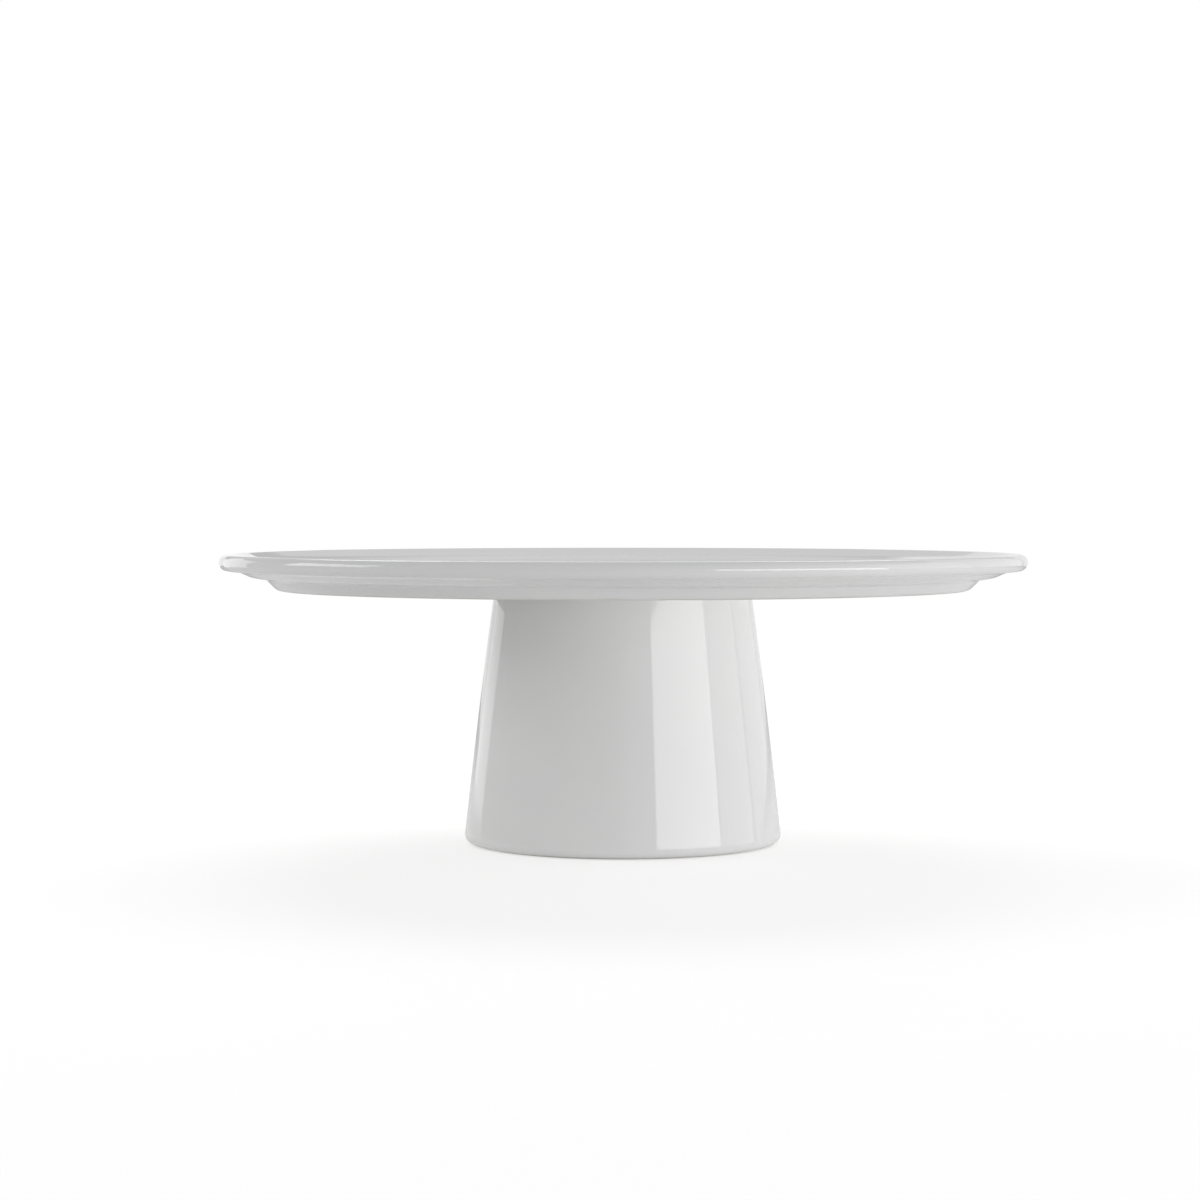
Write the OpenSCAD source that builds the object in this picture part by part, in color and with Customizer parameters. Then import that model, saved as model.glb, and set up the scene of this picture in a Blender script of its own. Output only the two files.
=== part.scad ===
// Two-piece porcelain cake stand.
// The plate is clamped to the hollow pedestal by a hand screw from below.
// Millimetres, +Z up, with the origin on the table at the centre of the foot.

/* [Plate] */
// Outside diameter of the plate
plate_d = 305; // [300:1:330]
// Height of the plate from its own foot to the top of its rim
plate_h = 13.6; // [13:0.2:15]
// Thickness of the full-round rim
rim_t = 5.8; // [5:0.2:6.4]
// Depth of the well below the rim
well_depth = 3; // [1.5:0.5:3.5]
// Diameter of the plate's flat foot where its stepped side begins
plate_foot_d = 261.4; // [250:0.2:264]
// Height of the stepped side of the plate's foot
step_h = 4; // [3.4:0.2:4.6]

/* [Pedestal] */
// Height of the whole stand
stand_h = 110; // [95:1:140]
// Diameter of the pedestal at its base
base_d = 120.8; // [114:0.2:130]
// Diameter of the pedestal at its top
neck_d = 97.2; // [92:0.2:102]
// How far the pedestal's side swells outwards of a straight cone
side_swell = 0.4; // [0:0.1:1]
// Rounding of the pedestal's bottom edge
base_round = 3.2; // [2:0.2:3.4]
// Thickness of the pedestal's side wall
wall = 5.5; // [4.5:0.5:6.5]
// Thickness of the pedestal's closed top
deck_t = 7; // [6:0.5:9]

/* [Clamp] */
// Thread diameter of the hand screw
thread_d = 6; // [5:1:6]
// Length of the hand screw's shank
shank_l = 25; // [24:1:28]
// Diameter of the hand knob
knob_d = 40; // [34:1:44]
// Height of the knob's grip
grip_h = 13; // [11:1:16]
// Number of finger grooves round the knob
knob_lobes = 7; // [5:1:8]

/* [Soft parts] */
// How far the foot ring stands proud of the pedestal's base
foot_proud = 0.4; // [0.3:0.1:0.8]
// Thickness of the gasket under the plate
gasket_t = 1; // [0.8:0.1:1.1]
// Thickness of the deck bush's flange
flange_t = 2; // [1.5:0.5:2.5]

/* [Hidden] */

$fn = 96;
corner_steps = 10;
swell_steps = 12;

porcelain = [0.93, 0.93, 0.92];
silicone = [0.86, 0.87, 0.87];
black_rubber = [0.08, 0.08, 0.08];
steel = [0.62, 0.63, 0.64];
brass = [0.76, 0.61, 0.32];
epoxy = [0.85, 0.82, 0.72];
knob_plastic = [0.90, 0.90, 0.89];

// Plate, measured from the plane of its own foot
plate_r = plate_d / 2;
plate_z = stand_h - plate_h;
plate_foot_r = plate_foot_d / 2;
step_run = 4.1;
floor_z = plate_h - well_depth;
seat_recess = 1.2;
seat_gap = 1.2;
seat_wall = 7;
channel_depth = 1.8;
channel_slope = 3;
foot_band = 17;

// Insert and its pocket in the plate
pocket_r = 8;
pocket_depth = 6.6;
insert_r = 5;
insert_waist_r = 4.3;
insert_l = 6.2;
waist_l = 1.8;
bore_slack = 0.05;

// Pedestal, measured from its own base
base_r = base_d / 2;
neck_r = neck_d / 2;
pedestal_h = plate_z + seat_recess - gasket_t - foot_proud;
deck_hole_r = 5;
foot_in_r = base_r - 9;
foot_h = 6;
foot_taper = 8;
groove_in_r = base_r - 7.4;
groove_out_r = base_r - 4.8;
groove_depth = 1.6;

// Clamp stack under the deck
deck_top = foot_proud + pedestal_h;
deck_bottom = deck_top - deck_t;
thread_r = thread_d / 2;
bush_slack = 0.08;
flange_r = 12;
washer_r = 11;
washer_t = 1.6;
washer_slack = 0.2;
washer_z = deck_bottom - flange_t - washer_t;
tip_z = plate_z + seat_recess + 6;
head_z = tip_z - shank_l;
head_h = 4;
head_corner_r = 5 / cos(30);
tip_chamfer = 0.6;
knob_hub_r = 9.5;
knob_hub_h = 4;
groove_r = 8;
groove_bite = 2.4;

gasket_in_r = 22;
gasket_out_r = 45;

function unit(v) = v / norm(v);

function turned(v, angle) = [v.x * cos(angle) - v.y * sin(angle), v.x * sin(angle) + v.y * cos(angle)];

// The arc that rounds the corner b of the path a, b, c
function rounded(a, b, c, radius) =
    radius == 0 ? [b] :
    let (
        to_a = unit(a - b),
        to_c = unit(c - b),
        half = acos(to_a * to_c) / 2,
        centre = b + unit(to_a + to_c) * radius / sin(half),
        start = b + to_a * radius / tan(half) - centre,
        sweep = -sign(cross(to_a, to_c)) * (180 - 2 * half)
    )
    [for (i = [0 : corner_steps]) centre + turned(start, sweep * i / corner_steps)];

// A closed outline from corners of [radius from the axis, height, rounding]
function outline(corners) =
    let (n = len(corners))
    [for (i = [0 : n - 1])
        let (a = corners[(i + n - 1) % n], b = corners[i], c = corners[(i + 1) % n])
        each rounded([a.x, a.y], [b.x, b.y], [c.x, c.y], b.z)];

module turned_solid(corners) {
    rotate_extrude() polygon(outline(corners));
}

// Radius of the pedestal's outside at a fraction t of its height
function side_r(t) = base_r + (neck_r - base_r) * t + 4 * side_swell * t * (1 - t);

module pedestal() {
    color(porcelain) translate([0, 0, foot_proud]) turned_solid(concat(
        [
            [foot_in_r, 0, 1],
            [groove_in_r, 0, 0],
            [groove_in_r, groove_depth, 0],
            [groove_out_r, groove_depth, 0],
            [groove_out_r, 0, 0],
            [side_r(0), 0, base_round],
        ],
        [for (i = [1 : swell_steps - 1]) [side_r(i / swell_steps), pedestal_h * i / swell_steps, 0]],
        [
            [side_r(1), pedestal_h, 1.5],
            [deck_hole_r, pedestal_h, 0.5],
            [deck_hole_r, pedestal_h - deck_t, 0.5],
            [side_r(1 - deck_t / pedestal_h) - wall, pedestal_h - deck_t, 7],
            [side_r((foot_h + foot_taper) / pedestal_h) - wall, foot_h + foot_taper, 6],
            [foot_in_r, foot_h, 3],
        ]
    ));
}

// Non-slip ring pressed into the groove of the pedestal's base
module foot_ring() {
    color(silicone) turned_solid([
        [groove_in_r, 0, 0.3],
        [groove_out_r, 0, 0.3],
        [groove_out_r, foot_proud + groove_depth, 0],
        [groove_in_r, foot_proud + groove_depth, 0],
    ]);
}

module joint_gasket() {
    color(silicone) translate([0, 0, deck_top]) turned_solid([
        [gasket_in_r, 0, 0.3],
        [gasket_out_r, 0, 0.3],
        [gasket_out_r, gasket_t, 0.3],
        [gasket_in_r, gasket_t, 0.3],
    ]);
}

// Shouldered bush: its sleeve lines the deck's hole and its flange lies under the deck
module deck_bush() {
    bore_r = thread_r + bush_slack;
    color(black_rubber) translate([0, 0, deck_bottom]) turned_solid([
        [bore_r, -flange_t, 0.4],
        [flange_r, -flange_t, 0.6],
        [flange_r, 0, 0.4],
        [deck_hole_r, 0, 0.5],
        [deck_hole_r, deck_t - 0.5, 0],
        [bore_r, deck_t - 0.5, 0.3],
    ]);
}

module steel_washer() {
    color(steel) translate([0, 0, washer_z]) turned_solid([
        [thread_r + washer_slack, 0, 0.1],
        [washer_r, 0, 0.3],
        [washer_r, washer_t, 0.3],
        [thread_r + washer_slack, washer_t, 0.1],
    ]);
}

module clamp_screw() {
    color(steel) union() {
        translate([0, 0, head_z - head_h]) cylinder(r = head_corner_r, h = head_h, $fn = 6);
        translate([0, 0, head_z - 1]) cylinder(r = thread_r, h = shank_l + 1 - tip_chamfer);
        translate([0, 0, tip_z - tip_chamfer]) cylinder(r1 = thread_r, r2 = thread_r - tip_chamfer, h = tip_chamfer);
    }
}

// Fluted hand knob, moulded round the screw's hexagonal head and open below it
module screw_knob() {
    grip_top = washer_z - knob_hub_h;
    grip_bottom = grip_top - grip_h;
    color(knob_plastic) difference() {
        turned_solid([
            [0, grip_bottom, 0],
            [knob_d / 2, grip_bottom, 3],
            [knob_d / 2, grip_top, 2],
            [knob_hub_r, grip_top, 1],
            [knob_hub_r, washer_z, 0.5],
            [0, washer_z, 0],
        ]);
        for (i = [0 : knob_lobes - 1])
            rotate(360 * (i + 0.5) / knob_lobes)
                translate([knob_d / 2 + groove_r - groove_bite, 0, grip_bottom - 1])
                    cylinder(r = groove_r, h = grip_h + 2);
        translate([0, 0, grip_bottom - 1]) cylinder(r = head_corner_r, h = head_z - grip_bottom + 1, $fn = 6);
        translate([0, 0, grip_bottom - 1]) cylinder(r = thread_r, h = washer_z - grip_bottom + 2);
    }
}

module plate() {
    color(porcelain) translate([0, 0, plate_z]) turned_solid([
        [0, seat_recess + pocket_depth, 0],
        [pocket_r, seat_recess + pocket_depth, 0],
        [pocket_r, seat_recess, 0],
        [neck_r + seat_gap, seat_recess, 0.4],
        [neck_r + seat_gap, 0, 0.6],
        [neck_r + seat_gap + seat_wall, 0, 1.5],
        [neck_r + seat_gap + seat_wall + channel_slope, channel_depth, 3],
        [plate_foot_r - foot_band - channel_slope, channel_depth, 3],
        [plate_foot_r - foot_band, 0, 1.5],
        [plate_foot_r, 0, 4],
        [plate_foot_r + step_run, step_h, 1],
        [plate_r - 11.7, step_h + 1.1, 9],
        [plate_r - 6.6, plate_h - rim_t - 0.5, 6],
        [plate_r, plate_h - rim_t, rim_t / 2 - 0.05],
        [plate_r, plate_h, rim_t / 2],
        [plate_r - 4.7, plate_h, 6],
        [plate_r - 15.9, floor_z, 40],
        [0, floor_z, 0],
    ]);
}

// Outside of the insert, from its mouth up, with a waist that keys it into the potting
function insert_side() = [
    [insert_r, 0, 0],
    [insert_r, (insert_l - waist_l) / 2, 0],
    [insert_waist_r, (insert_l - waist_l) / 2 + 0.4, 0],
    [insert_waist_r, (insert_l + waist_l) / 2 - 0.4, 0],
    [insert_r, (insert_l + waist_l) / 2, 0],
    [insert_r, insert_l, 0],
];

module threaded_insert() {
    bore_r = thread_r + bore_slack;
    color(brass) translate([0, 0, plate_z + seat_recess])
        turned_solid(concat([[bore_r, 0, 0]], insert_side(), [[bore_r, insert_l, 0]]));
}

// Epoxy that fills the pocket round and over the insert
module insert_potting() {
    color(epoxy) translate([0, 0, plate_z + seat_recess])
        turned_solid(concat(
            [[pocket_r, 0, 0], [pocket_r, pocket_depth, 0], [0, pocket_depth, 0], [0, insert_l, 0]],
            [for (i = [len(insert_side()) - 1 : -1 : 0]) insert_side()[i]]
        ));
}

pedestal();
foot_ring();
joint_gasket();
deck_bush();
steel_washer();
clamp_screw();
screw_knob();
plate();
threaded_insert();
insert_potting();
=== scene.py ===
# Looks of the two-piece porcelain cake stand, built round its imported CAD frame. Metres, +Z up.
import math

import bpy
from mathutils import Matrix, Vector


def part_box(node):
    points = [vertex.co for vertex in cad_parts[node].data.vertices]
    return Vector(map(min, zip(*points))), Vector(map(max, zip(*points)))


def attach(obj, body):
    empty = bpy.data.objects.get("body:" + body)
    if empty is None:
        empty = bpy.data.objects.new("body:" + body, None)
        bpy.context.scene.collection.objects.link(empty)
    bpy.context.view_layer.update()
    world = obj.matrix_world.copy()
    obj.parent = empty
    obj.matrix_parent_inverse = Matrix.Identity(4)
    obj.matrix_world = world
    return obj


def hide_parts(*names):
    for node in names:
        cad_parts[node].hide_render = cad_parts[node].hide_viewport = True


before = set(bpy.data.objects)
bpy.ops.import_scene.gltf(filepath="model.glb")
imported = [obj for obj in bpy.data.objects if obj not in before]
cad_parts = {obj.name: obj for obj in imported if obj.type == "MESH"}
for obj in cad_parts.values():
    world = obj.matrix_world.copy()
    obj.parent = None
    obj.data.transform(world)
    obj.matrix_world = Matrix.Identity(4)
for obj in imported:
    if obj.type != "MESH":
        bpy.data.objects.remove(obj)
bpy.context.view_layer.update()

MM = 0.001
TURN = 2 * math.pi

# ---------------------------------------------------------------- driving sizes, in millimetres

PLATE_R = 152.5
PLATE_H = 13.6
PLATE_FOOT_R = 130.7
FOOT_BAND = 17.0
RIM_T = 5.8
WELL_DEPTH = 3.0
STEP_H = 4.0
STEP_RUN = 4.1
# How far inside the rim's outer edge each bend of the plate's outline lies
COVE_START = 11.7
COVE_END = 6.6
RIM_CREST = 4.7
WELL_EDGE = 15.9
SEAT_RECESS = 1.2
SEAT_R = 49.8
HUB_R = 56.8
CHANNEL_DEPTH = 1.8
CHANNEL_SLOPE = 3.0
POCKET_R = 8.0
POCKET_DEPTH = 6.6
INSERT_R = 5.0
INSERT_WAIST_R = 4.3
# Shares of the insert's length at which each knurled band ends and the waist begins
BAND_SHARE = 0.34
WAIST_SHARE = 0.40

BASE_R = 60.4
NECK_R = 48.6
SIDE_SWELL = 0.4
WALL = 5.5
DECK_T = 7.0
DECK_HOLE_R = 5.0
FOOT_IN_R = 51.4
GROOVE_IN_R = 53.0
GROOVE_OUT_R = 55.6
GROOVE_DEPTH = 1.6
FOOT_H = 6.0
FOOT_TAPER = 8.0
# Height of the ground, unglazed part of each porcelain foot
BARE_H = 0.4
GASKET_IN_R = 22.0
GASKET_OUT_R = 45.0

THREAD_R = 3.0
THREAD_ROOT_R = 2.39
THREAD_PITCH = 1.0
BORE_R = 3.05
HEX_FLAT_R = 5.0
HEAD_H = 4.0
WASHER_R = 11.0
FLANGE_R = 12.0
FLANGE_T = 2.0
KNOB_R = 20.0
KNOB_LOBES = 7
KNOB_HUB_R = 9.5
KNOB_HUB_H = 4.0
LOBE_CUT_R = 8.0
LOBE_CUT_AT = 25.6


# ---------------------------------------------------------------- outlines

def rounded(a, b, c, radius, steps):
    """The arc that rounds the corner b of the path a, b, c."""
    if radius == 0:
        return [b]
    to_a = (a - b).normalized()
    to_c = (c - b).normalized()
    half = to_a.angle(to_c) / 2
    centre = b + (to_a + to_c).normalized() * radius / math.sin(half)
    start = b + to_a * radius / math.tan(half) - centre
    sweep = math.copysign(math.pi - 2 * half, to_a.y * to_c.x - to_a.x * to_c.y)
    points = []
    for i in range(steps + 1):
        sine, cosine = math.sin(sweep * i / steps), math.cos(sweep * i / steps)
        points.append(centre + Vector((start.x * cosine - start.y * sine, start.x * sine + start.y * cosine)))
    return points


def outline(corners, steps):
    """A closed outline from corners of (radius from the axis, height, rounding)."""
    points = []
    for i, corner in enumerate(corners):
        a, b, c = (Vector(k[:2]) for k in (corners[i - 1], corner, corners[(i + 1) % len(corners)]))
        points += rounded(a, b, c, corner[2], steps)
    return points


def with_support(points, margin=0.35):
    """Adds a point near each end of every long straight run, which keeps the shading flat between them."""
    dense = []
    for i, a in enumerate(points):
        b = points[(i + 1) % len(points)]
        run = (b - a).length
        dense.append(a)
        if run > 3 * margin and a.x + b.x > 0:
            dense.append(a.lerp(b, margin / run))
            dense.append(a.lerp(b, 1 - margin / run))
    return dense


# ---------------------------------------------------------------- meshes

def skin(name, rings, segments, sharp_deg=32):
    """A closed surface through rings about Z, each a function from angle to (radius, height) in metres.

    Rings run outwards along the bottom, up the outside, inwards over the top and down any hole.
    """
    vertices, rows = [], []
    for ring in rings:
        radius, height = ring(0.0)
        if radius < 1e-7:
            rows.append([len(vertices)] * segments)
            vertices.append((0, 0, height))
            continue
        rows.append(range(len(vertices), len(vertices) + segments))
        for i in range(segments):
            angle = TURN * i / segments
            radius, height = ring(angle)
            vertices.append((radius * math.cos(angle), radius * math.sin(angle), height))
    faces = []
    for k, low in enumerate(rows):
        high = rows[(k + 1) % len(rows)]
        if low[0] == low[1] and high[0] == high[1]:
            continue
        for i in range(segments):
            j = (i + 1) % segments
            faces.append(tuple(dict.fromkeys((low[i], low[j], high[j], high[i]))))
    mesh = bpy.data.meshes.new(name)
    mesh.from_pydata(vertices, [], faces)
    mesh.polygons.foreach_set("use_smooth", [True] * len(mesh.polygons))
    mesh.set_sharp_from_angle(angle=math.radians(sharp_deg))
    piece = bpy.data.objects.new(name, mesh)
    bpy.context.scene.collection.objects.link(piece)
    return piece


def ring(radius, height, inset=0.0):
    """A ring for skin(): a radius in millimetres, or a function from angle to one, and a height in metres."""
    if callable(radius):
        return lambda angle: ((radius(angle) - inset) * MM, height)
    return lambda angle: ((radius - inset) * MM, height)


def turned(name, corners, base_z, segments=256, steps=14):
    """A solid of revolution from corners of (radius, height, rounding) in millimetres.

    Heights are measured from base_z, which is in metres.
    """
    points = with_support(outline(corners, steps))
    return skin(name, [ring(point.x, base_z + point.y * MM) for point in points], segments)


def edge(radius, height, rounding, upper, steps=6):
    """Rings round the rounded edge between a wall and the face above or below it."""
    rings = []
    for i in range(steps + 1):
        angle = math.pi / 2 * (i if upper else steps - i) / steps
        drop = rounding * (1 - math.sin(angle)) * MM
        inset = rounding * (1 - math.cos(angle))
        rings.append(ring(radius, height - drop if upper else height + drop, inset))
    return rings


def thread(crest, root, low, high, rings_per_turn=10):
    """Rings of a right-hand V thread, in millimetres, between two heights in metres. It fades out at both."""
    pitch = THREAD_PITCH * MM

    def radius_at(height):
        fade = min(1.0, (height - low) / pitch, (high - height) / pitch)

        def radius(angle):
            painted_shade_across = 2 * abs((height / pitch - angle / TURN) % 1 - 0.5)
            ridge = min(1.0, max(0.0, (0.75 - painted_shade_across) / 0.625))
            return root + (crest - root) * ridge * max(0.0, fade)
        return radius

    count = round((high - low) / pitch * rings_per_turn)
    heights = [low + (high - low) * i / count for i in range(count + 1)]
    return [ring(radius_at(height), height) for height in heights]


def hexagon(angle):
    """Radius of the hexagonal head, with a corner at angle 0."""
    return HEX_FLAT_R / math.cos(angle % (TURN / 6) - TURN / 12)


def lobed(angle):
    """Radius of the knob's grip, with a finger groove between each pair of lobes."""
    blend = 1.4
    sector = TURN / KNOB_LOBES
    off = angle % sector - sector / 2
    reach = LOBE_CUT_R ** 2 - (LOBE_CUT_AT * math.sin(off)) ** 2
    cut = LOBE_CUT_AT * math.cos(off) - math.sqrt(max(0.0, reach))
    overlap = max(0.0, blend - abs(cut - KNOB_R)) / blend
    return min(cut, KNOB_R) - overlap ** 2 * blend / 4


# ---------------------------------------------------------------- shader graphs

def add(tree, kind, inputs, **settings):
    """Adds a node. Each input is a number, a vector, a colour or another node's output."""
    node = tree.nodes.new(kind)
    for key, value in settings.items():
        setattr(node, key, value)
    for key, value in inputs.items():
        if isinstance(value, bpy.types.NodeSocket):
            tree.links.new(value, node.inputs[key])
        else:
            node.inputs[key].default_value = value
    return node


def new_finish(name, **constants):
    """A material, its node tree and its shader, with the constants set on the shader's own sockets."""
    material = bpy.data.materials.new(name)
    material.use_nodes = True
    tree = material.node_tree
    shader = tree.nodes["Principled BSDF"]
    for key, value in constants.items():
        shader.inputs[key.replace("_", " ")].default_value = value
    return material, tree, shader


def connect(tree, shader, **sockets):
    for key, value in sockets.items():
        tree.links.new(value, shader.inputs[key.replace("_", " ")])


def place(tree):
    return add(tree, "ShaderNodeTexCoord", {}).outputs["Object"]


def noise(tree, where, scale, detail=3.0, roughness=0.5):
    inputs = {"Vector": where, "Scale": scale, "Detail": detail, "Roughness": roughness}
    return add(tree, "ShaderNodeTexNoise", inputs).outputs["Fac"]


def combine(tree, operation, a, b=0.0):
    return add(tree, "ShaderNodeMath", {0: a, 1: b}, operation=operation).outputs[0]


def ramp(tree, value, low, high, to_low=0.0, to_high=1.0):
    """Maps value from low..high to to_low..to_high along a smooth step."""
    inputs = {"Value": value, "From Min": low, "From Max": high, "To Min": to_low, "To Max": to_high}
    return add(tree, "ShaderNodeMapRange", inputs, interpolation_type="SMOOTHSTEP").outputs["Result"]


def mix_colours(tree, factor, a, b):
    return add(tree, "ShaderNodeMix", {0: factor, 6: a, 7: b}, data_type="RGBA").outputs[2]


def mix_values(tree, factor, a, b):
    return add(tree, "ShaderNodeMix", {0: factor, 2: a, 3: b}, data_type="FLOAT").outputs[0]


def bump(tree, height, distance, under=None):
    """Bump whose relief is distance metres deep, laid over the normal of an earlier bump."""
    inputs = {"Height": height, "Distance": distance}
    if under is not None:
        inputs["Normal"] = under
    return add(tree, "ShaderNodeBump", inputs).outputs["Normal"]


def axis_distance(tree, where):
    """Distance of each point from the stand's axis."""
    flat = add(tree, "ShaderNodeVectorMath", {0: where, 1: (1, 1, 0)}, operation="MULTIPLY").outputs[0]
    return add(tree, "ShaderNodeVectorMath", {0: flat}, operation="LENGTH").outputs["Value"]


def coordinate(tree, where, axis):
    return add(tree, "ShaderNodeSeparateXYZ", {0: where}).outputs[axis]


# ---------------------------------------------------------------- finishes

def porcelain(name, bare_z):
    """Clear gloss glaze on white porcelain, left bare and ground below bare_z, where it stood in the kiln."""
    material, tree, shader = new_finish(name, IOR=1.5)
    where = place(tree)
    wander = ramp(tree, noise(tree, where, 70, 2), 0.3, 0.7, -0.15 * MM, 0.15 * MM)
    level = combine(tree, "ADD", coordinate(tree, where, 2), wander)
    bare = ramp(tree, level, bare_z, bare_z + 0.1 * MM, 1.0, 0.0)

    cloud = ramp(tree, noise(tree, where, 14, 4, 0.55), 0.35, 0.65)
    glaze = mix_colours(tree, cloud, (0.80, 0.80, 0.797, 1), (0.787, 0.789, 0.789, 1))
    grit = noise(tree, where, 2600, 4, 0.7)
    body = mix_colours(tree, ramp(tree, grit, 0.35, 0.65), (0.75, 0.74, 0.71, 1), (0.69, 0.675, 0.64, 1))

    polish = ramp(tree, noise(tree, where, 45, 3), 0.3, 0.7, 0.035, 0.065)
    swell = bump(tree, noise(tree, where, 22, 2, 0.4), 0.004 * MM)
    peel = bump(tree, noise(tree, where, 420, 2, 0.4), 0.0006 * MM, swell)
    grain = bump(tree, combine(tree, "MULTIPLY", grit, bare), 0.06 * MM, peel)
    connect(tree, shader,
            Base_Color=mix_colours(tree, bare, glaze, body),
            Roughness=mix_values(tree, bare, polish, 0.75),
            Normal=grain)
    return material


def soft_rubber(name, light, dark, roughness, skin_scale):
    """Moulded rubber or silicone with a fine skin texture and an uneven bloom."""
    material, tree, shader = new_finish(name, IOR=1.45)
    where = place(tree)
    mottle = noise(tree, where, 90, 4)
    texture = noise(tree, where, skin_scale, 3, 0.6)
    connect(tree, shader,
            Base_Color=mix_colours(tree, ramp(tree, mottle, 0.3, 0.7), light, dark),
            Roughness=ramp(tree, mottle, 0.3, 0.7, roughness - 0.08, roughness + 0.08),
            Normal=bump(tree, texture, 0.03 * MM))
    return material


def turned_metal(name, light, dark, roughness, mark_pitch):
    """Metal with concentric tool marks at mark_pitch in millimetres, small scratches and faint stains."""
    material, tree, shader = new_finish(name, Metallic=1.0)
    where = place(tree)
    stain = noise(tree, where, 220, 4)
    phase = combine(tree, "MULTIPLY", axis_distance(tree, where), TURN / (mark_pitch * MM))
    marks = combine(tree, "SINE", phase)
    scratches = bump(tree, noise(tree, where, 1800, 3), 0.004 * MM)
    connect(tree, shader,
            Base_Color=mix_colours(tree, ramp(tree, stain, 0.35, 0.7), light, dark),
            Roughness=ramp(tree, stain, 0.3, 0.7, roughness - 0.06, roughness + 0.1),
            Normal=bump(tree, marks, 0.002 * MM, scratches))
    return material


def moulded_plastic(name, light, dark, roughness):
    """Moulded nylon with a fine eroded texture, rubbed smoother on the lobes that fingers touch."""
    material, tree, shader = new_finish(name, IOR=1.5)
    where = place(tree)
    handled = ramp(tree, axis_distance(tree, where), (KNOB_R - 3) * MM, (KNOB_R + 0.5) * MM)
    connect(tree, shader,
            Base_Color=mix_colours(tree, ramp(tree, noise(tree, where, 70, 4), 0.35, 0.7), light, dark),
            Roughness=mix_values(tree, handled, roughness, roughness - 0.14),
            Normal=bump(tree, noise(tree, where, 1500, 2, 0.6), 0.04 * MM))
    return material


def cast_epoxy(name):
    """Cream potting resin with small bubbles under a shiny skin."""
    material, tree, shader = new_finish(name, IOR=1.55)
    where = place(tree)
    cells = add(tree, "ShaderNodeTexVoronoi", {"Vector": where, "Scale": 900}).outputs["Distance"]
    bubbles = ramp(tree, cells, 0.10, 0.22, 1.0, 0.0)
    connect(tree, shader,
            Base_Color=mix_colours(tree, bubbles, (0.72, 0.66, 0.50, 1), (0.55, 0.49, 0.36, 1)),
            Roughness=ramp(tree, noise(tree, where, 300, 3), 0.3, 0.7, 0.18, 0.38),
            Normal=bump(tree, combine(tree, "MULTIPLY", bubbles, -1.0), 0.08 * MM))
    return material


# ---------------------------------------------------------------- pieces of the stand

def floor_of(node):
    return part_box(node)[0].z


def height_mm(node):
    low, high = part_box(node)
    return (high.z - low.z) / MM


def make_plate():
    well_z = PLATE_H - WELL_DEPTH
    foot_in_r = PLATE_FOOT_R - FOOT_BAND
    return turned("plate_porcelain", [
        (0, SEAT_RECESS + POCKET_DEPTH, 0),
        (POCKET_R, SEAT_RECESS + POCKET_DEPTH, 0),
        (POCKET_R, SEAT_RECESS, 0),
        (SEAT_R, SEAT_RECESS, 0.4),
        (SEAT_R, 0, 0.6),
        (HUB_R, 0, 1.5),
        (HUB_R + CHANNEL_SLOPE, CHANNEL_DEPTH, 3),
        (foot_in_r - CHANNEL_SLOPE, CHANNEL_DEPTH, 3),
        (foot_in_r, 0, 1.5),
        (PLATE_FOOT_R, 0, 4),
        (PLATE_FOOT_R + STEP_RUN, STEP_H, 1),
        (PLATE_R - COVE_START, STEP_H + 1.1, 9),
        (PLATE_R - COVE_END, PLATE_H - RIM_T - 0.5, 6),
        (PLATE_R, PLATE_H - RIM_T, RIM_T / 2 - 0.05),
        (PLATE_R, PLATE_H, RIM_T / 2),
        (PLATE_R - RIM_CREST, PLATE_H, 6),
        (PLATE_R - WELL_EDGE, well_z, 40),
        (0, well_z, 0),
    ], floor_of("plate"), 320)


def side_r(t):
    """Radius of the pedestal's outside at a fraction t of its height."""
    return BASE_R + (NECK_R - BASE_R) * t + 4 * SIDE_SWELL * t * (1 - t)


def make_pedestal():
    height = height_mm("pedestal")
    side_steps = 24
    foot_top = FOOT_H + FOOT_TAPER
    side = [(side_r(i / side_steps), height * i / side_steps, 0) for i in range(1, side_steps)]
    return turned("pedestal_porcelain", [
        (FOOT_IN_R, 0, 1),
        (GROOVE_IN_R, 0, 0),
        (GROOVE_IN_R, GROOVE_DEPTH, 0),
        (GROOVE_OUT_R, GROOVE_DEPTH, 0),
        (GROOVE_OUT_R, 0, 0),
        (BASE_R, 0, 3.2),
        *side,
        (NECK_R, height, 1.5),
        (DECK_HOLE_R, height, 0.5),
        (DECK_HOLE_R, height - DECK_T, 0.5),
        (side_r(1 - DECK_T / height) - WALL, height - DECK_T, 7),
        (side_r(foot_top / height) - WALL, foot_top, 6),
        (FOOT_IN_R, FOOT_H, 3),
    ], floor_of("pedestal"), 256)


def make_foot_ring():
    """Silicone ring with two shallow grooves in its tread."""
    height = height_mm("foot_ring")
    land = (GROOVE_OUT_R - GROOVE_IN_R) / 5
    tread = [(GROOVE_IN_R, 0, 0.2)]
    for k in (1, 3):
        left = GROOVE_IN_R + k * land
        tread += [(left, 0, 0.08), (left, 0.25, 0.08), (left + land, 0.25, 0.08), (left + land, 0, 0.08)]
    return turned("foot_ring_silicone", [
        *tread,
        (GROOVE_OUT_R, 0, 0.2),
        (GROOVE_OUT_R, height, 0),
        (GROOVE_IN_R, height, 0),
    ], floor_of("foot_ring"), 256, 5)


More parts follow.
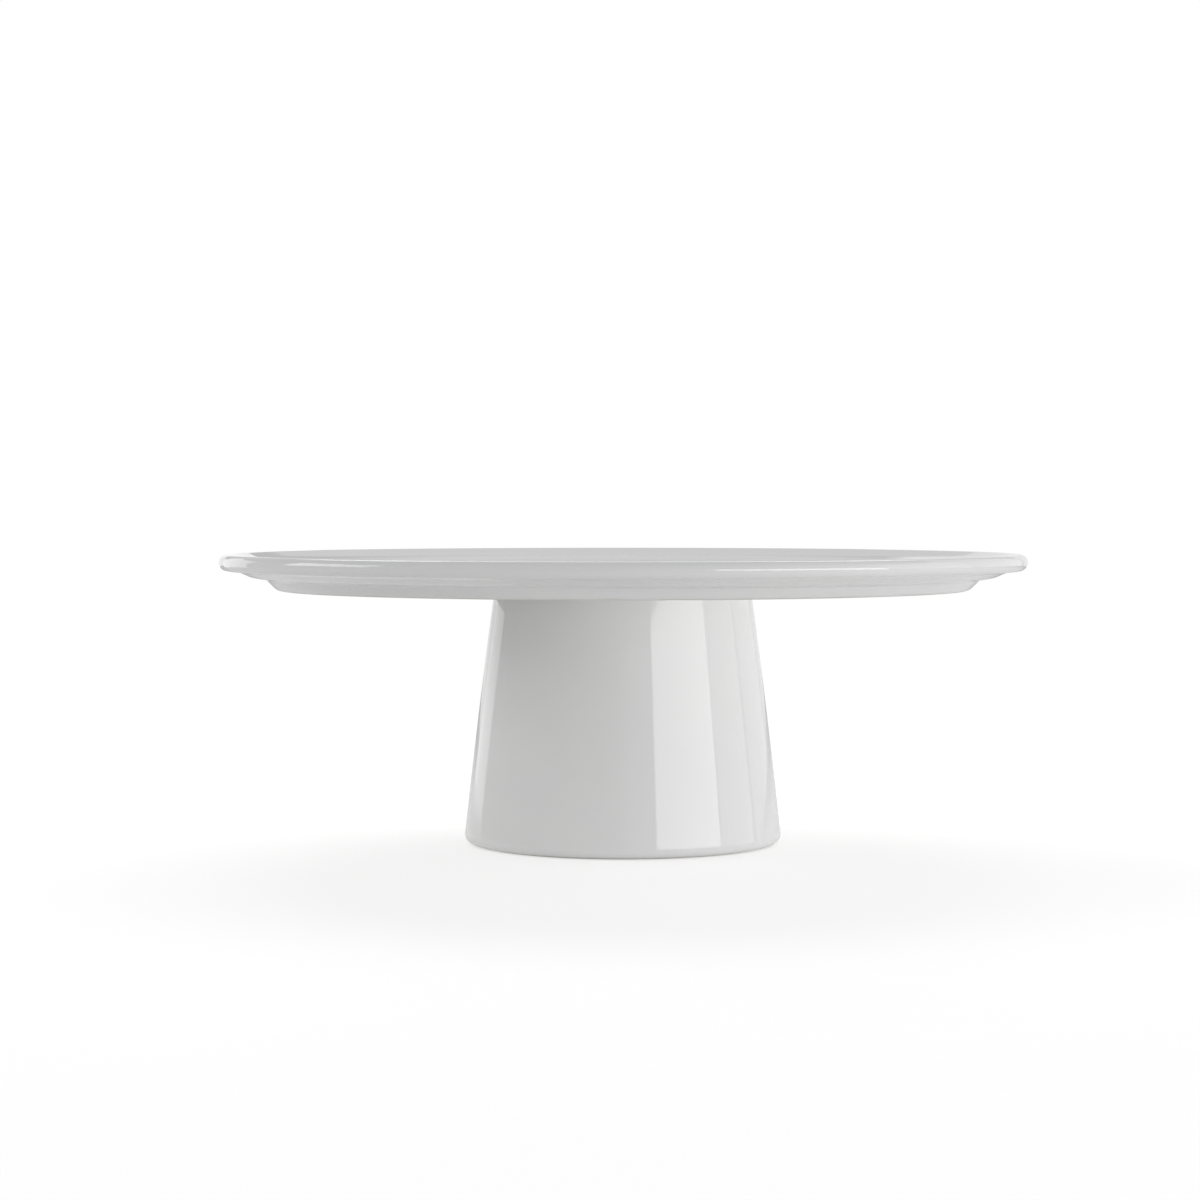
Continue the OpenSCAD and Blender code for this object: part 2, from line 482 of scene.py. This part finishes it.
def make_gasket():
    """Silicone ring with two shallow sealing grooves in its upper face."""
    top = height_mm("joint_gasket")
    bed = top - 0.3
    upper = []
    for r in (39, 30):
        upper += [(r + 1, top, 0.1), (r + 0.7, bed, 0.1), (r - 0.7, bed, 0.1), (r - 1, top, 0.1)]
    return turned("joint_gasket_silicone", [
        (GASKET_IN_R, 0, 0.3),
        (GASKET_OUT_R, 0, 0.3),
        (GASKET_OUT_R, top, 0.3),
        *upper,
        (GASKET_IN_R, top, 0.3),
    ], floor_of("joint_gasket"), 192, 6)


def make_bush():
    """Rubber bush with a shallow moulded ring round the face of its flange."""
    top = height_mm("deck_bush")
    bore = THREAD_R + 0.08
    return turned("deck_bush_rubber", [
        (bore, 0, 0.4),
        (FLANGE_R - 2.2, 0, 0.1),
        (FLANGE_R - 2.0, 0.15, 0.1),
        (FLANGE_R - 1.2, 0.15, 0.1),
        (FLANGE_R - 1.0, 0, 0.1),
        (FLANGE_R, 0, 0.6),
        (FLANGE_R, FLANGE_T, 0.4),
        (DECK_HOLE_R, FLANGE_T, 0.5),
        (DECK_HOLE_R, top, 0.2),
        (bore, top, 0.3),
    ], floor_of("deck_bush"), 96, 8)


def make_washer():
    """Stamped washer: rolled edges on the side that the punch entered, crisp ones on the other."""
    thick = height_mm("steel_washer")
    hole = THREAD_R + 0.2
    return turned("steel_washer_stamped", [
        (hole, 0, 0.05),
        (WASHER_R, 0, 0.08),
        (WASHER_R, thick, 0.5),
        (hole, thick, 0.25),
    ], floor_of("steel_washer"), 128, 8)


def make_screw():
    """Hexagon-headed screw with a chamfered head, a plain neck in the knob's hub and a thread to its tip."""
    low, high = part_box("clamp_screw")
    head_top = low.z + HEAD_H * MM
    neck_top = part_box("screw_knob")[1].z - 1.5 * MM
    thread_top = high.z - 0.6 * MM
    chamfer_r, chamfer_run, chamfer_h, chamfer_steps = 4.7, 1.15, 0.6, 4
    rings = [ring(0, low.z), ring(chamfer_r, low.z)]
    for i in range(1, chamfer_steps + 1):
        t = i / chamfer_steps
        limit = chamfer_r + chamfer_run * t
        rings.append(ring(lambda angle, limit=limit: min(hexagon(angle), limit), low.z + chamfer_h * t * MM))
    rings += [ring(hexagon, head_top - 0.05 * MM), ring(hexagon, head_top, 0.05)]
    rings += [ring(THREAD_R, head_top), ring(THREAD_R, neck_top - 0.7 * MM)]
    rings += thread(THREAD_R, THREAD_ROOT_R, neck_top, thread_top)
    rings += [ring(THREAD_ROOT_R, high.z - 0.25 * MM), ring(THREAD_ROOT_R, high.z, 0.25), ring(0, high.z)]
    return skin("clamp_screw_steel", rings, 84, 28)


def make_knob():
    """Fluted knob, dished below, with a chamfered hexagonal pocket and a hub that bears on the washer."""
    low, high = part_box("screw_knob")
    head_top = floor_of("clamp_screw") + HEAD_H * MM
    grip_top = high.z - KNOB_HUB_H * MM
    dish_z = low.z + 0.8 * MM
    collar_r = 9.2
    return skin("screw_knob_nylon", [
        ring(hexagon, low.z + 0.5 * MM),
        ring(hexagon, low.z, -0.5),
        ring(collar_r, low.z, 0.2),
        ring(collar_r, low.z + 0.2 * MM),
        ring(collar_r, dish_z, -0.3),
        ring(lobed, dish_z, 5.0),
        ring(lobed, low.z + 0.2 * MM, 4.4),
        ring(lobed, low.z, 4.1),
        *edge(lobed, low.z, 3.0, upper=False),
        *edge(lobed, grip_top, 2.0, upper=True),
        ring(KNOB_HUB_R, grip_top, -1.2),
        ring(KNOB_HUB_R, grip_top + 0.35 * MM, -0.35),
        ring(KNOB_HUB_R, grip_top + 1.2 * MM),
        *edge(KNOB_HUB_R, high.z, 0.5, upper=True, steps=4),
        ring(BORE_R, high.z, -0.3),
        ring(BORE_R, high.z - 0.3 * MM),
        ring(BORE_R, head_top),
        ring(hexagon, head_top),
    ], 168, 30)


def make_insert():
    """Brass insert: a threaded bore inside two straight-knurled bands with a waist between them."""
    low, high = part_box("threaded_insert")
    teeth, tooth_depth = 28, 0.22
    length = high.z - low.z
    bevel = 0.25 * MM

    def knurled(angle):
        return INSERT_R - tooth_depth * abs(math.sin(teeth / 2 * angle))

    inside = thread(BORE_R, BORE_R + 0.4, low.z + bevel, high.z - bevel)
    return skin("threaded_insert_brass", [
        ring(BORE_R, low.z, -0.65),
        ring(INSERT_R, low.z, 0.4),
        ring(knurled, low.z + bevel),
        ring(knurled, low.z + BAND_SHARE * length),
        ring(INSERT_WAIST_R, low.z + WAIST_SHARE * length),
        ring(INSERT_WAIST_R, high.z - WAIST_SHARE * length),
        ring(knurled, high.z - BAND_SHARE * length),
        ring(knurled, high.z - bevel),
        ring(INSERT_R, high.z, 0.4),
        ring(BORE_R, high.z, -0.65),
        *reversed(inside),
    ], 168, 30)


def make_potting():
    """Cast epoxy that holds the insert and fills the pocket, with a meniscus in the gap between them."""
    low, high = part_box("threaded_insert")
    top = height_mm("insert_potting")
    length = (high.z - low.z) / MM
    return turned("insert_potting_epoxy", [
        (INSERT_R, 0, 0),
        (INSERT_R + 0.5, 0.3, 0.4),
        (POCKET_R - 0.7, 0.3, 0.5),
        (POCKET_R, 0, 0),
        (POCKET_R, top, 0),
        (0, top, 0),
        (0, length, 0),
        (INSERT_R, length, 0),
        (INSERT_R, (1 - BAND_SHARE) * length, 0),
        (INSERT_WAIST_R, (1 - WAIST_SHARE) * length, 0),
        (INSERT_WAIST_R, WAIST_SHARE * length, 0),
        (INSERT_R, BAND_SHARE * length, 0),
    ], floor_of("insert_potting"), 96, 6)


def dress(piece, body, node, material):
    """Gives a piece its finish and lets it stand for a CAD node on a body."""
    piece.data.materials.append(material)
    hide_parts(node)
    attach(piece, body)


def make_stand():
    dress(make_plate(), "plate", "plate",
          porcelain("plate_glaze", floor_of("plate") + BARE_H * MM))
    dress(make_pedestal(), "pedestal", "pedestal",
          porcelain("pedestal_glaze", floor_of("pedestal") + BARE_H * MM))
    dress(make_foot_ring(), "pedestal", "foot_ring",
          soft_rubber("foot_silicone", (0.70, 0.71, 0.70, 1), (0.60, 0.61, 0.60, 1), 0.48, 1400))
    dress(make_gasket(), "pedestal", "joint_gasket",
          soft_rubber("gasket_silicone", (0.74, 0.75, 0.74, 1), (0.66, 0.67, 0.66, 1), 0.42, 900))
    dress(make_bush(), "pedestal", "deck_bush",
          soft_rubber("bush_rubber", (0.022, 0.022, 0.023, 1), (0.05, 0.05, 0.05, 1), 0.62, 1800))
    dress(make_washer(), "washer", "steel_washer",
          turned_metal("washer_steel", (0.62, 0.62, 0.61, 1), (0.50, 0.50, 0.49, 1), 0.30, 0.35))
    dress(make_screw(), "screw", "clamp_screw",
          turned_metal("screw_steel", (0.60, 0.60, 0.61, 1), (0.46, 0.46, 0.47, 1), 0.26, 0.25))
    dress(make_knob(), "screw", "screw_knob",
          moulded_plastic("knob_plastic", (0.70, 0.70, 0.69, 1), (0.66, 0.66, 0.65, 1), 0.48))
    dress(make_insert(), "plate", "threaded_insert",
          turned_metal("insert_brass", (0.80, 0.60, 0.28, 1), (0.62, 0.44, 0.19, 1), 0.24, 0.3))
    dress(make_potting(), "plate", "insert_potting", cast_epoxy("potting_epoxy"))


# ---------------------------------------------------------------- studio

# Each softbox fills a range of azimuth and of elevation as the stand sees it, in degrees.
# Azimuths turn from the camera's side towards +X.
SOFTBOXES = {
    "key": dict(azimuth=(24, 74), elevation=(-3, 8), radiance=5.0),
    "front_right": dict(azimuth=(0, 24), elevation=(-3, 12), radiance=0.23),
    "right": dict(azimuth=(74, 110), elevation=(-3, 35), radiance=0.9),
    "right_back": dict(azimuth=(110, 150), elevation=(-3, 40), radiance=0.56),
    "back_right": dict(azimuth=(150, 172), elevation=(-3, 14), radiance=0.42),
    "back_left": dict(azimuth=(190, 210), elevation=(-3, 10), radiance=0.56),
    "back_mid": dict(azimuth=(150, 210), elevation=(14, 35), radiance=0.18),
    "back_high": dict(azimuth=(150, 210), elevation=(35, 55), radiance=2.07),
    "left_back": dict(azimuth=(210, 235), elevation=(-8, 20), radiance=0.9),
    "left": dict(azimuth=(254, 288), elevation=(11, 31), radiance=3.3),
    "left_strip": dict(azimuth=(200, 208), elevation=(31, 50), radiance=2.0),
}
# These reach the pedestal through the plate's edge, the key as a taller and dimmer light.
NECK_LIGHTS = {"key": dict(elevation=(-3, 14), radiance=3.36), "right": {}, "right_back": {}}
STUDIO_R = 1.5
STAND_MIDDLE = Vector((0, 0, 0.08))
AMBIENT = 0.45
FLOOR_R = 1.1
BACKDROP_R = 6.0


def softbox(name, azimuth, elevation, radiance):
    """A rectangular light that faces the middle of the stand."""
    half_turn = math.radians(azimuth[1] - azimuth[0]) / 2
    half_lift = math.radians(elevation[1] - elevation[0]) / 2
    a = math.radians(sum(azimuth) / 2)
    e = math.radians(sum(elevation) / 2)
    outwards = Vector((math.sin(a) * math.cos(e), -math.cos(a) * math.cos(e), math.sin(e)))
    light = bpy.data.lights.new(name, "AREA")
    light.shape = "RECTANGLE"
    light.size = 2 * STUDIO_R * math.tan(half_turn) * math.cos(e)
    light.size_y = 2 * STUDIO_R * math.tan(half_lift)
    light.energy = radiance * math.pi * light.size * light.size_y
    lamp = bpy.data.objects.new(name, light)
    lamp.location = STAND_MIDDLE + outwards * STUDIO_R
    lamp.rotation_euler = outwards.to_track_quat("Z", "Y").to_euler()
    lamp.visible_camera = False
    bpy.context.scene.collection.objects.link(lamp)
    return lamp


def linked(name, piece, state):
    """A collection that a light uses to reach only this piece, or everything but this piece."""
    group = bpy.data.collections.new(name)
    group.objects.link(piece)
    group.collection_objects[0].light_linking.link_state = state
    return group


def light_the_set():
    """Lights the stand, with the neck lights doubled: one for the pedestal and one for everything else."""
    pedestal = bpy.data.objects["pedestal_porcelain"]
    plate = bpy.data.objects["plate_porcelain"]
    all_but_pedestal = linked("all_but_pedestal", pedestal, "EXCLUDE")
    pedestal_only = linked("pedestal_only", pedestal, "INCLUDE")
    all_but_plate = linked("all_but_plate", plate, "EXCLUDE")
    for name, settings in SOFTBOXES.items():
        lamp = softbox(name, **settings)
        if name in NECK_LIGHTS:
            lamp.light_linking.receiver_collection = all_but_pedestal
            on_neck = softbox(name + "_on_neck", **{**settings, **NECK_LIGHTS[name]})
            on_neck.light_linking.receiver_collection = pedestal_only
            on_neck.light_linking.blocker_collection = all_but_plate


def make_world():
    world = bpy.data.worlds.new("studio")
    world.use_nodes = True
    background = world.node_tree.nodes["Background"]
    background.inputs["Color"].default_value = (1, 1, 1, 1)
    background.inputs["Strength"].default_value = AMBIENT
    bpy.context.scene.world = world


def stage_mesh(name, vertices, faces):
    mesh = bpy.data.meshes.new(name)
    mesh.from_pydata(vertices, [], faces)
    obj = bpy.data.objects.new(name, mesh)
    bpy.context.scene.collection.objects.link(obj)
    return obj


def make_floor(name, height, glow, tone, camera_sees):
    """A pale round floor that fades into the backdrop, seen by the camera or only by reflected light.

    It glows by glow[0] round the stand and by glow[1] further out; where glow[0] is the larger, the extra
    glow round the stand is painted light that lifts the shade near its base. Its tone is tone[0] well to the
    left of the stand and tone[1] elsewhere; where tone[0] is the lower, the darker left side is painted
    shade, as if less light fell there.
    """
    corners = 96
    near_r, far_r, fade_r = 0.07, 0.14, 0.22
    left_x, right_x = -0.35, -0.12
    angles = [TURN * i / corners for i in range(corners)]
    rim = [(FLOOR_R * math.cos(angle), FLOOR_R * math.sin(angle), height) for angle in angles]
    floor = stage_mesh(name, rim, [tuple(range(corners))])
    material, tree, shader = new_finish(name + "_paint", Roughness=0.6, Specular_IOR_Level=0.2)
    where = place(tree)
    out = axis_distance(tree, where)
    mottle = ramp(tree, noise(tree, where, 3, 2), 0.3, 0.7, 1.0, 0.98)
    # Painted shade: the tone falls from tone[1] to tone[0] towards the left, standing in for less light on
    # that side.
    painted_shade_across = ramp(tree, coordinate(tree, where, 0), left_x, right_x, *tone)
    connect(tree, shader,
            Base_Color=combine(tree, "MULTIPLY", painted_shade_across, mottle),
            # Painted light where glow[0] exceeds glow[1]: a stronger glow round the stand stands in for light
            # reaching under it.
            Emission_Strength=ramp(tree, out, near_r, far_r, *glow),
            Alpha=ramp(tree, out, fade_r, 1.0, 1.0, 0.0))
    shader.inputs["Emission Color"].default_value = (1, 1, 1, 1)
    floor.data.materials.append(material)
    floor.visible_camera = camera_sees
    floor.visible_diffuse = not camera_sees
    floor.visible_glossy = not camera_sees
    floor.visible_transmission = not camera_sees
    floor.visible_shadow = not camera_sees


def make_backdrop():
    """A white dome that only the camera sees."""
    turns, lifts = 48, 24
    vertices, faces = [], []
    for i in range(lifts + 1):
        lift = math.pi * (i / lifts - 0.5)
        radius, height = BACKDROP_R * math.cos(lift), BACKDROP_R * math.sin(lift)
        for k in range(turns):
            angle = TURN * k / turns
            vertices.append((radius * math.cos(angle), radius * math.sin(angle), height))
    for i in range(lifts):
        for k in range(turns):
            j = (k + 1) % turns
            faces.append((i * turns + k, i * turns + j, (i + 1) * turns + j, (i + 1) * turns + k))
    dome = stage_mesh("backdrop", vertices, faces)
    material, tree, shader = new_finish("backdrop_white", Roughness=1.0, Emission_Strength=1.0)
    shader.inputs["Base Color"].default_value = (0, 0, 0, 1)
    shader.inputs["Emission Color"].default_value = (1, 1, 1, 1)
    shader.inputs["Specular IOR Level"].default_value = 0
    dome.data.materials.append(material)
    dome.visible_diffuse = False
    dome.visible_glossy = False
    dome.visible_transmission = False
    dome.visible_volume_scatter = False
    dome.visible_shadow = False


def make_camera():
    """A camera in front of the stand, a little above the plate, tilted down and turned slightly left."""
    tilt_down, turn_left = math.radians(1.847), math.radians(0.432)
    data = bpy.data.cameras.new("camera")
    data.lens = 90.63
    data.sensor_width = 36
    data.clip_end = 20
    camera = bpy.data.objects.new("camera", data)
    camera.location = (0, -1.148, 0.1294)
    camera.rotation_euler = (math.pi / 2 - tilt_down, 0, turn_left)
    bpy.context.scene.collection.objects.link(camera)
    bpy.context.scene.camera = camera


make_camera()
make_world()
make_backdrop()
make_floor("floor_seen", height=0, glow=(0.48, 0.48), tone=(0.70, 0.70), camera_sees=True)
# Seen only in reflections and bounced light: its darker left side is painted shade and its stronger glow
# round the stand is painted light.
make_floor("floor_bounce", height=-0.1 * MM, glow=(0.13, 0.04), tone=(0.78, 0.9), camera_sees=False)
make_stand()
light_the_set()
bpy.context.scene.view_settings.view_transform = "Standard"
